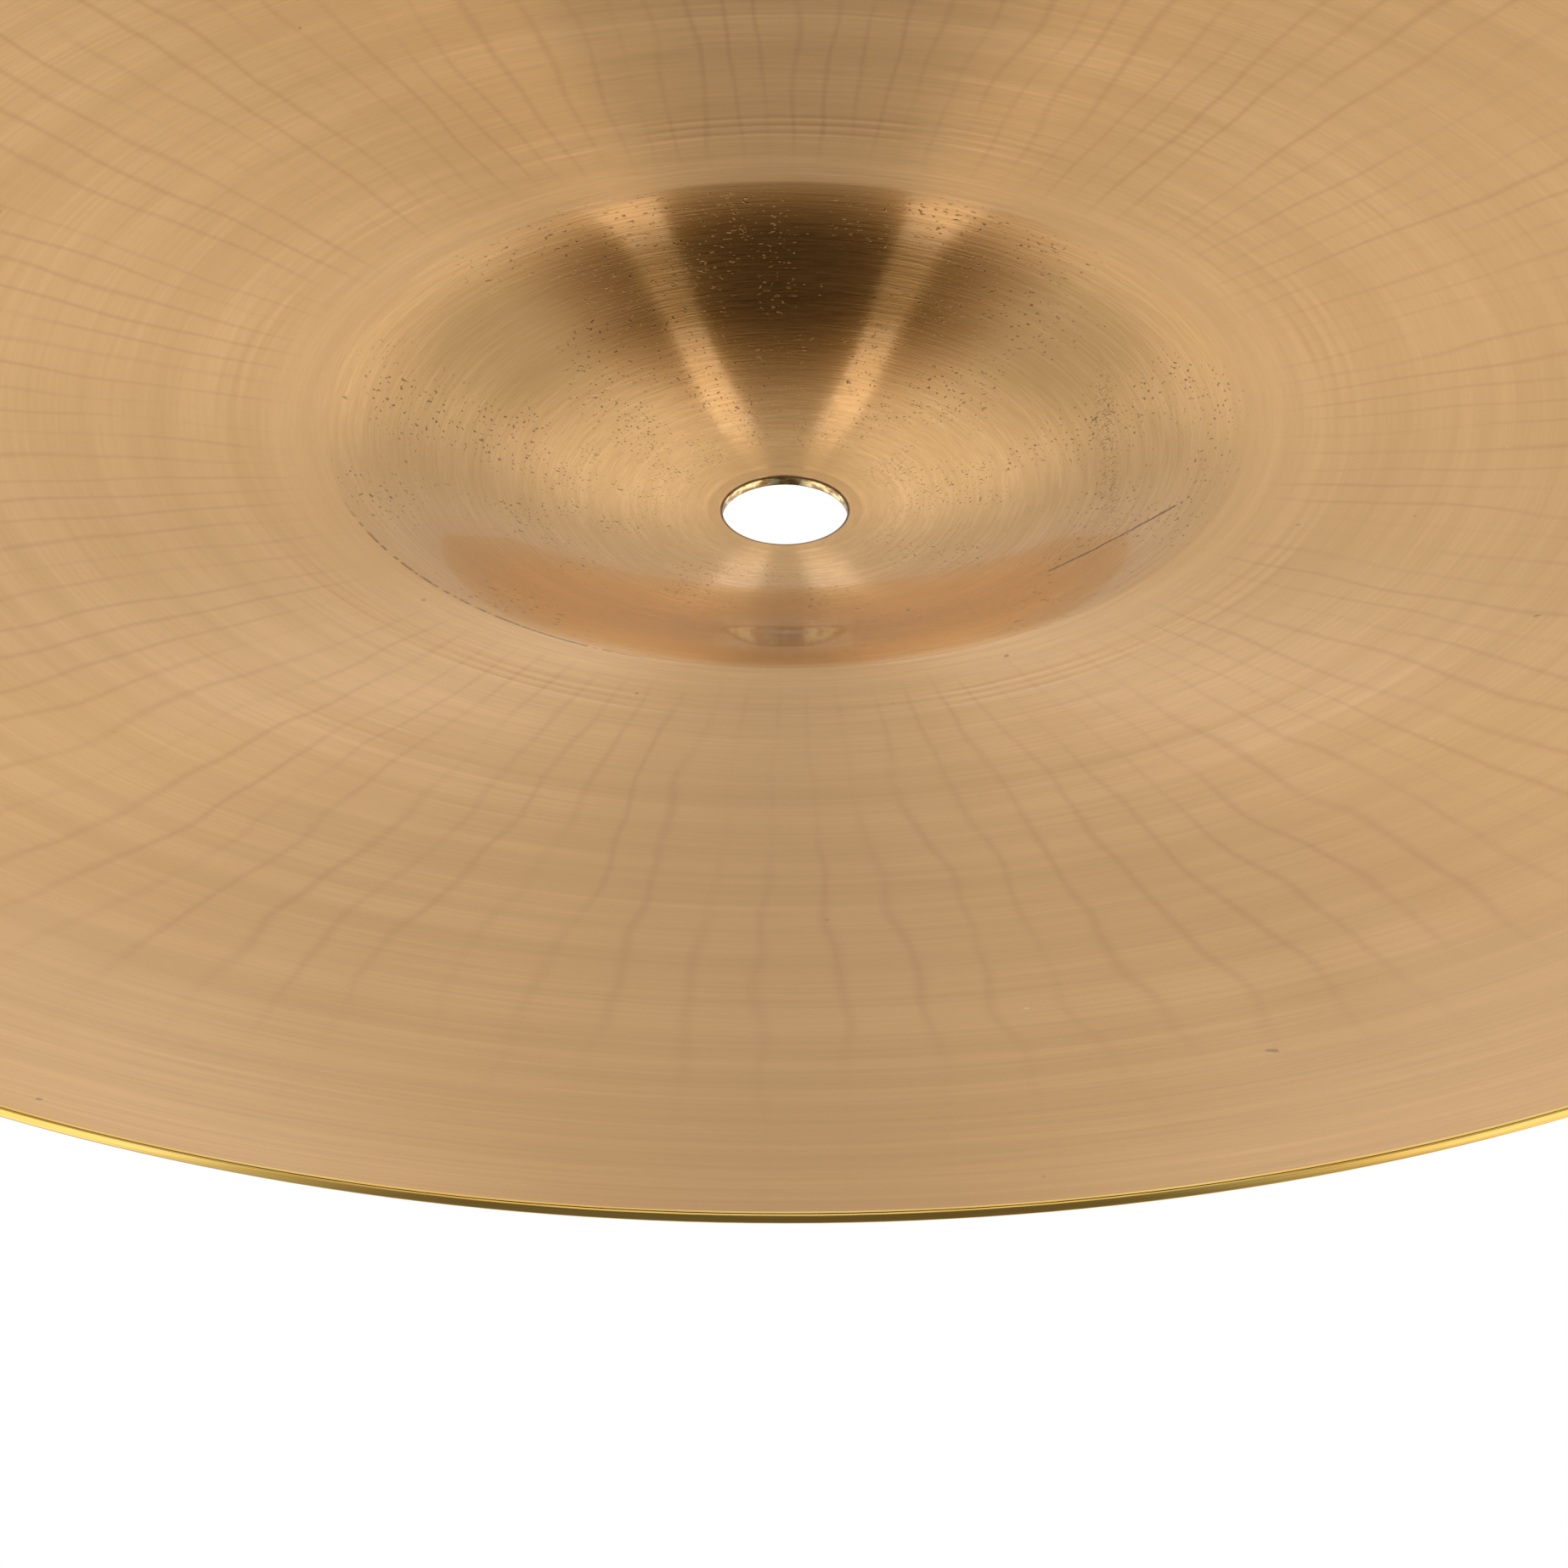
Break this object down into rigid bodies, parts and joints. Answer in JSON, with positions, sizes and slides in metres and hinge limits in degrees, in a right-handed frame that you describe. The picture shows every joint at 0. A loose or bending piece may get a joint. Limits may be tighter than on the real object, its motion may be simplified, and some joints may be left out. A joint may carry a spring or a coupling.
{
  "type": "crash cymbal",
  "caption": "Round brass cymbal with a domed bell, a shallow lathed bow and a plain hole for the rod of a stand.",
  "frame": {"origin": "centre of the mounting hole, halfway through the sheet", "axes": "+Z along the cymbal's axis of revolution, from the hollow underside out through the crown of the bell, as it sits on a stand; X and Y are arbitrary in the plane of the edge"},
  "size_m": [0.3048, 0.3048, 0.0316],
  "materials": {
    "brass": "lathed and finely brushed in circles, satin, lacquered"
  },
  "bodies": {
    "root": {"cymbal": "brass"}
  },
  "joints": []
}
